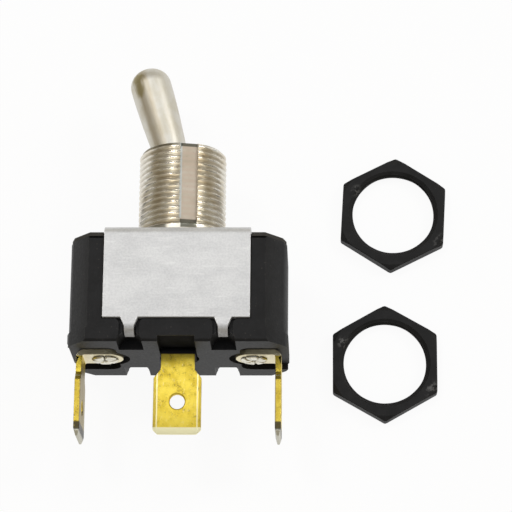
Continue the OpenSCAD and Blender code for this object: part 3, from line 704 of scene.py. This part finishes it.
# a turned form down -Y: a flat head inside, a shank, and a rolled head outside whose rim is half an
# ellipse across, drawn in and thinned by exp(-(angle/split)^2) at each split between its petals
def makeRivet(name, node, first, s):
    low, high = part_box(node)
    x, z, top, e = (low[0] + high[0]) / 2, (low[2] + high[2]) / 2, high[1], s["edge"]
    under = low[1] + s["headThick"]
    angle = np.linspace(0, turn, s["columns"], endpoint=False)
    spacing = turn / s["petals"]
    fromSplit = (angle - first + spacing / 2) % spacing - spacing / 2
    split = np.exp(-(fromSplit / s["split"]) ** 2)
    inside = np.array([[s["pole"], top], [s["inHead"] - e, top], [s["inHead"], top - e],
                       [s["inHead"], top - s["inThick"] + e], [s["inHead"] - e, top - s["inThick"]],
                       [s["shank"], top - s["inThick"]], [s["shank"], under]])
    rim = s["head"] - s["notch"] * split
    sweep = np.linspace(0, turn / 2, 14)[:, None]
    rolled = (rim + s["hollow"]) / 2 + (rim - s["hollow"]) / 2 * np.cos(sweep)
    fall = under - s["headThick"] * np.sin(sweep).clip(0) ** 0.7 * (1 - 0.9 * split)
    middle = np.array([[s["hollow"] - 2 * e, under + s["pole"]], [s["pole"], under + s["dimple"]]])
    flat = np.ones_like(angle)
    radius = np.vstack([inside[:, :1] * flat, rolled, middle[:, :1] * flat])
    rise = np.vstack([inside[:, 1:] * flat, fall, middle[:, 1:] * flat])
    points = np.stack([x + radius * np.cos(angle), rise, z + radius * np.sin(angle)], axis=-1)
    standFor(poledPiece(name, points, rivetLook, "switch", 50), node)


makeRivet("leftRivet", "rivet_left", 0.3, rivetForm)
makeRivet("centreRivet", "rivet_centre", 0.7, rivetForm)
makeRivet("rightRivet", "rivet_right", 1.1, rivetForm)
print("stage: rivets made")


# a copy of a CAD node with its coincident corners joined
def joinedCopy(name, node, material, body, sharp):
    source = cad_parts[node].data
    corners = np.empty(len(source.vertices) * 3, dtype=np.float32)
    source.vertices.foreach_get("co", corners)
    corners = corners.reshape(-1, 3)
    index = np.empty(len(source.loops), dtype=np.int32)
    source.loops.foreach_get("vertex_index", index)
    cells = np.round(corners / (0.002 * mm)).astype(np.int64)
    _, kept, joined = np.unique(cells, axis=0, return_index=True, return_inverse=True)
    faces = joined.reshape(-1)[index].reshape(-1, 3)
    whole = (faces != np.roll(faces, 1, axis=1)).all(axis=1)
    piece = meshPiece(name, corners[kept], [faces[whole]], material, body, sharp)
    standFor(piece, node)
    return piece


# such a copy with a Bevel modifier that breaks its sharp edges
def brokenEdges(name, node, material, width, sharp=32):
    piece = joinedCopy(name, node, material, "switch", sharp)
    bevel = piece.modifiers.new("brokenEdges", "BEVEL")
    bevel.width, bevel.segments = width, 2
    bevel.limit_method, bevel.angle_limit = "ANGLE", math.radians(sharp)
    bevel.harden_normals = True


brokenEdges("mouldedBase", "housing_base", phenolicLook, 0.13 * mm)
brokenEdges("foldedBracket", "frame_bracket", zincLook, 0.10 * mm)
brokenEdges("leftTerminal", "terminal_left", outerBrass, 0.07 * mm)
brokenEdges("centreTerminal", "terminal_centre", centreBrass, 0.07 * mm)
brokenEdges("rightTerminal", "terminal_right", outerBrass, 0.07 * mm)
print("stage: base, bracket and terminals finished")


# the spring, copied with a mesh of its own and carried with the lever
def makeSpring():
    wire = plainMetal("drawnWire", (0.50, 0.50, 0.52), 0.3)
    piece = joinedCopy("plungerSpring", "plunger_spring", wire, "lever", 40)
    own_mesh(piece)


makeSpring()
silver = plainMetal("contactSilver", (0.78, 0.78, 0.76), 0.3)
insideLooks = {
    "insulator_card": fibreLook,
    "lever_pin": plainMetal("groundPin", (0.55, 0.55, 0.56), 0.25),
    "plunger": nylon(),
    "contact_rocker": plainMetal("copperStrip", (0.62, 0.34, 0.18), 0.3, (0.1, 1, 1)),
    "rocker_cradle": plainMetal("cradleBrass", (0.75, 0.55, 0.18), 0.3, (0.1, 1, 1)),
    "rocker_contact_left": silver, "rocker_contact_right": silver,
    "fixed_contact_left": silver, "fixed_contact_right": silver,
}
for node, look in insideLooks.items():
    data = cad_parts[node].data
    data.materials.clear()
    data.materials.append(look)
print("stage: inside pieces finished")


floorSet = {"half": 3.0, "colour": (0.90, 0.90, 0.90), "white": 0.93}


# a floor that is white to the eye and in reflections, and keeps a soft part of each shadow
def makeFloor(s):
    h, low = s["half"], cadBox[0][2]
    mesh = bpy.data.meshes.new("floor")
    mesh.from_pydata([(-h, -h, low), (h, -h, low), (h, h, low), (-h, h, low)], [], [(0, 1, 2, 3)])
    floor = bpy.data.objects.new("floor", mesh)
    bpy.context.scene.collection.objects.link(floor)
    material, b = finish("floor")
    kinds = ("Is Camera Ray", "Is Glossy Ray", "Is Transmission Ray")
    seen = sum(b.add("ShaderNodeLightPath", out=kind) for kind in kinds).clipped()
    plain = b.add("ShaderNodeBsdfDiffuse", {}, {"Color": s["colour"]})
    glow = b.add("ShaderNodeEmission", {}, {"Color": (1, 1, 1), "Strength": 1.0})
    mixed = b.add("ShaderNodeMixShader", {}, {0: seen * s["white"], 1: plain, 2: glow})
    b.add("ShaderNodeOutputMaterial", {}, {0: mixed})
    mesh.materials.append(material)


worldSet = {
    "walls": (0.46, 0.42, 0.33), "left": (0.35, 0.30, 0.21), "ceiling": (0.60, 0.605, 0.61),
    "rise": (0.35, 0.85), "side": (0.05, -0.7),
}


# the room: brownish walls, darker on the left, under a pale ceiling; white behind the object
def makeWorld(s):
    world = bpy.data.worlds.new("studio")
    world.use_nodes = True
    bpy.context.scene.world = world
    w = Bench(world.node_tree)
    way = w.add("ShaderNodeTexCoord", out="Generated")
    x = w.add("ShaderNodeSeparateXYZ", {}, {0: way}, 0)
    z = w.add("ShaderNodeSeparateXYZ", {}, {0: way}, 2)

    def plain(colour):
        return w.add("ShaderNodeBackground", {}, {"Color": colour, "Strength": 1.0})

    def mix(share, a, b):
        return w.add("ShaderNodeMixShader", {}, {0: share, 1: a, 2: b})

    walls = mix(x.steps(*s["side"]), plain(s["walls"]), plain(s["left"]))
    room = mix(z.steps(*s["rise"]), walls, plain(s["ceiling"]))
    camera = w.add("ShaderNodeLightPath", out="Is Camera Ray")
    w.add("ShaderNodeOutputWorld", {}, {0: mix(camera, room, plain((1, 1, 1)))})


lampSet = [
    # name, direction, distance and width in metres, watts, colour
    ("leftLamp", (-0.38, 0.30, 0.87), 0.9, 0.20, 1.35, (1.0, 0.98, 0.95)),
    ("rightLamp", (0.70, 0.30, 0.65), 0.9, 0.28, 1.7, (1.0, 0.99, 0.97)),
    ("overhead", (0.15, 0.40, 0.90), 1.0, 0.30, 0.6, (1.0, 1.0, 1.0)),
]


def makeLamp(name, way, distance, width, watts, colour):
    data = bpy.data.lights.new(name, "AREA")
    data.shape, data.size, data.energy, data.color = "DISK", width, watts, colour
    lamp = bpy.data.objects.new(name, data)
    bpy.context.scene.collection.objects.link(lamp)
    back = np.array(way) / np.linalg.norm(way)
    right = np.cross((0, 1, 0), back)
    right /= np.linalg.norm(right)
    lamp.matrix_world = facing(right, np.cross(back, right), back, back * distance)


makeFloor(floorSet)
makeWorld(worldSet)
for lamp in lampSet:
    makeLamp(*lamp)
bpy.context.scene.view_settings.view_transform = "Standard"
print("stage: floor, world and lamps made")
